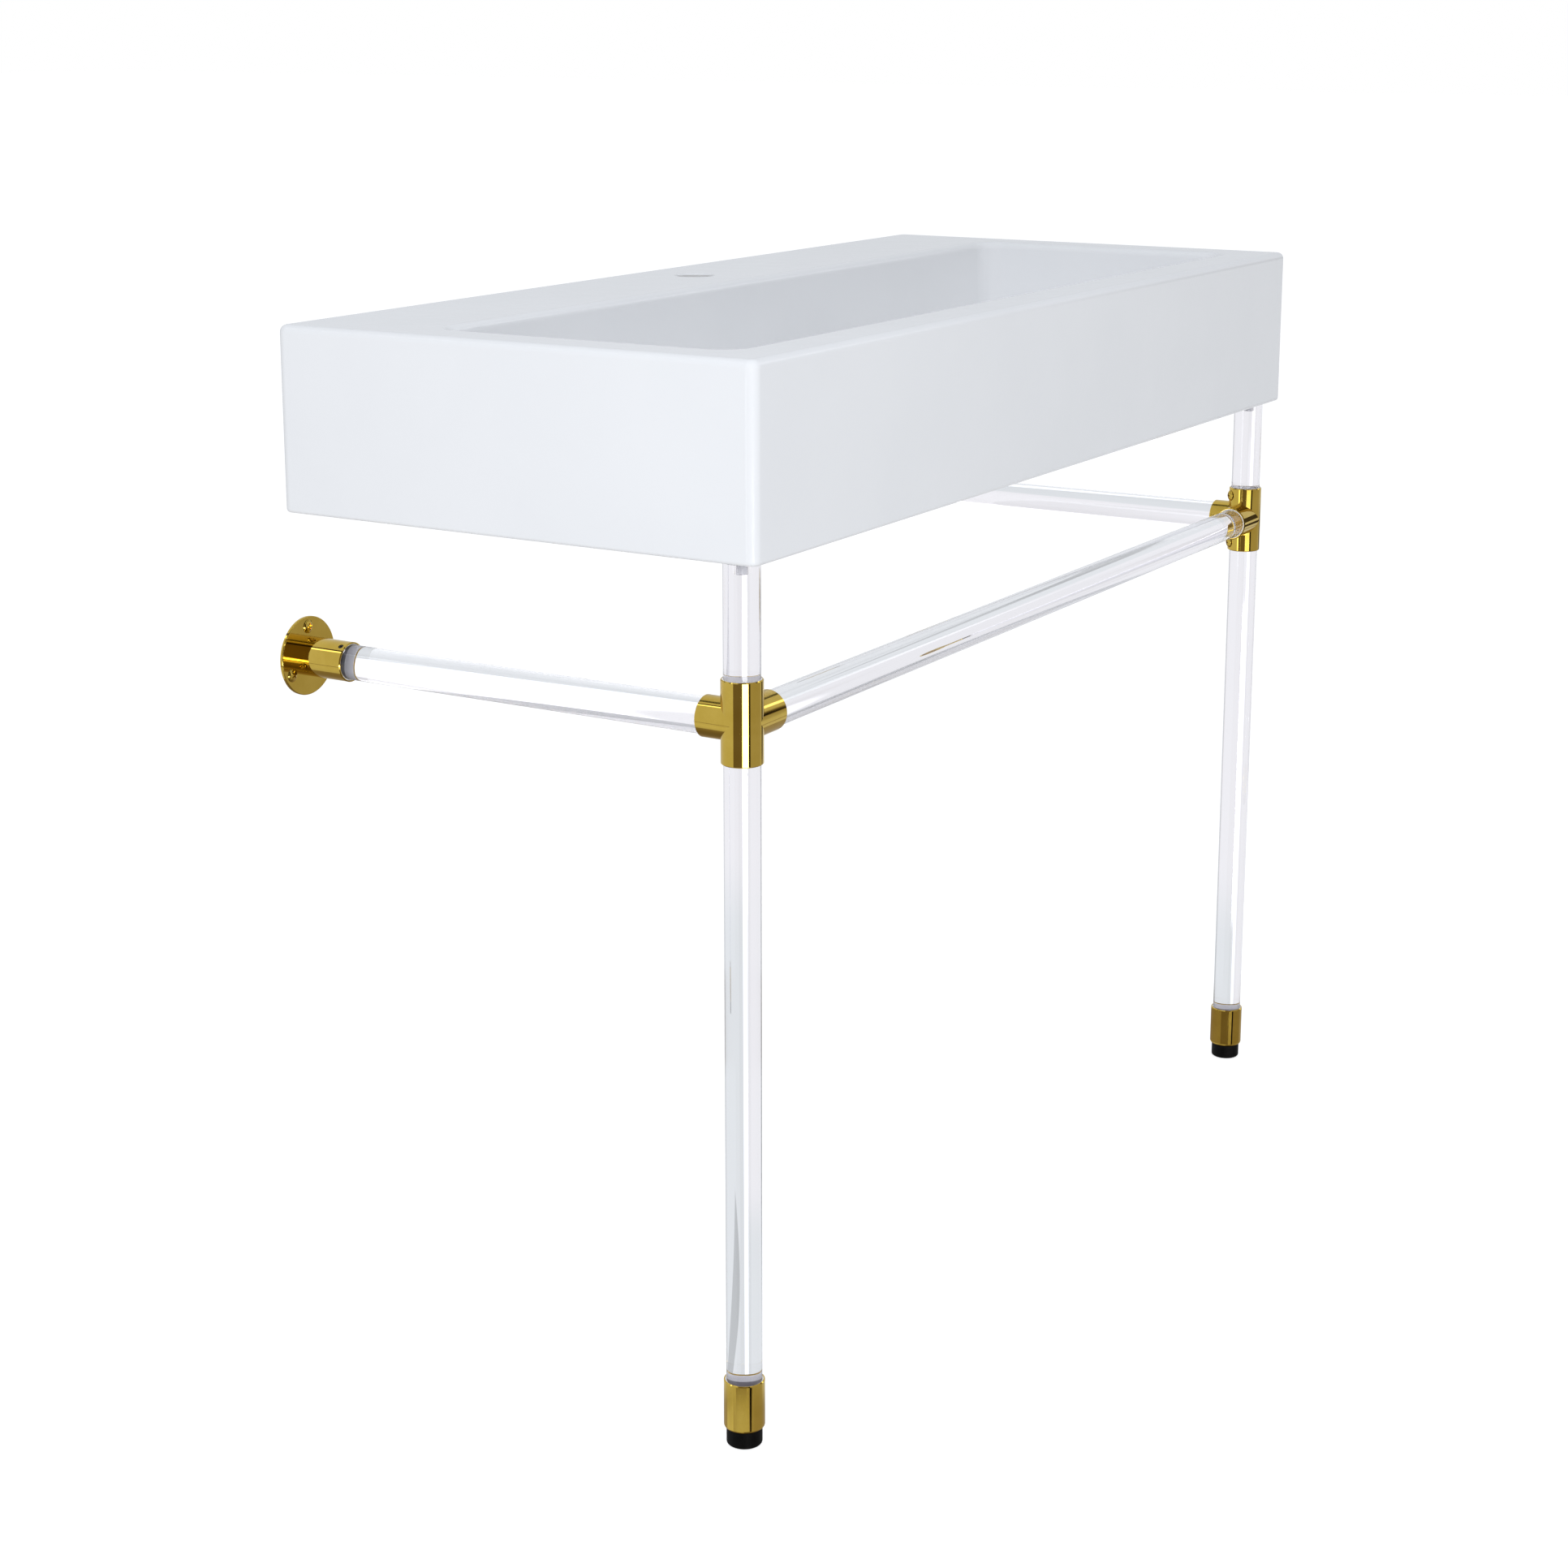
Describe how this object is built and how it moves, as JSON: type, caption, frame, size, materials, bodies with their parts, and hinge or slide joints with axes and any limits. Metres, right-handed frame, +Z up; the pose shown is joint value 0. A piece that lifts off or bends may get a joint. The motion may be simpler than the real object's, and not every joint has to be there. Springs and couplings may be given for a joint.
{
  "type": "console washbasin",
  "caption": "Wall-hung rectangular ceramic washbasin with a tap hole; clear acrylic front legs and rails joined by brass tees, wall flanges and screw-adjustable feet.",
  "frame": {"origin": "midway between the two wall-bolt holes, on the plane of the basin's back", "axes": "+X to the right of a person facing the basin, +Y into the wall, +Z up"},
  "size_m": [1.03, 0.437, 0.845],
  "materials": {
    "glaze": "gloss glaze",
    "acrylic": "clear polished acrylic",
    "brass": "polished",
    "brass_screws": "polished",
    "steel": "blackened",
    "liner": "matt",
    "nylon": "white moulded",
    "black_rubber": "matt",
    "clear_silicone": "satin"
  },
  "bodies": {
    "console": {"basin": "glaze", "front_rail": "acrylic", "left_flange_grub_screw": "steel", "left_flange_liner": "liner", "left_foot_cap": "brass", "left_foot_grub_screw": "steel", "left_foot_liner": "liner", "left_leg": "acrylic", "left_leg_pin": "nylon", "left_leg_washer": "clear_silicone", "left_rail": "acrylic", "left_tee": "brass", "left_tee_clamp_screws": "brass_screws", "left_tee_grub_screws": "steel", "left_tee_rings": "nylon", "left_wall_flange": "brass", "left_wall_screws": "brass_screws", "right_flange_grub_screw": "steel", "right_flange_liner": "liner", "right_foot_cap": "brass", "right_foot_grub_screw": "steel", "right_foot_liner": "liner", "right_leg": "acrylic", "right_leg_pin": "nylon", "right_leg_washer": "clear_silicone", "right_rail": "acrylic", "right_tee": "brass", "right_tee_clamp_screws": "brass_screws", "right_tee_grub_screws": "steel", "right_tee_rings": "nylon", "right_wall_flange": "brass", "right_wall_screws": "brass_screws"},
    "left_foot": {"left_foot": "black_rubber"},
    "left_foot_stud": {"left_foot_stud": "steel"},
    "right_foot": {"right_foot": "black_rubber"},
    "right_foot_stud": {"right_foot_stud": "steel"}
  },
  "joints": [
    {"name": "left_foot_height", "type": "slide", "parent": "console", "child": "left_foot_stud", "axis": [0, 0, -1], "range_m": [0, 0.008]},
    {"name": "left_foot_turn", "type": "hinge", "parent": "left_foot_stud", "child": "left_foot", "pos_m": [-0.483, -0.412, -0.785], "axis": [0, 0, -1], "range_deg": [0, 1919]},
    {"name": "right_foot_height", "type": "slide", "parent": "console", "child": "right_foot_stud", "axis": [0, 0, -1], "range_m": [0, 0.008]},
    {"name": "right_foot_turn", "type": "hinge", "parent": "right_foot_stud", "child": "right_foot", "pos_m": [0.483, -0.412, -0.785], "axis": [0, 0, -1], "range_deg": [0, 1919]}
  ],
  "couplings": [
    {"joint": "left_foot_height", "follows": "left_foot_turn", "m_per_rad": 0.00023873},
    {"joint": "right_foot_height", "follows": "right_foot_turn", "m_per_rad": 0.00023873}
  ]
}
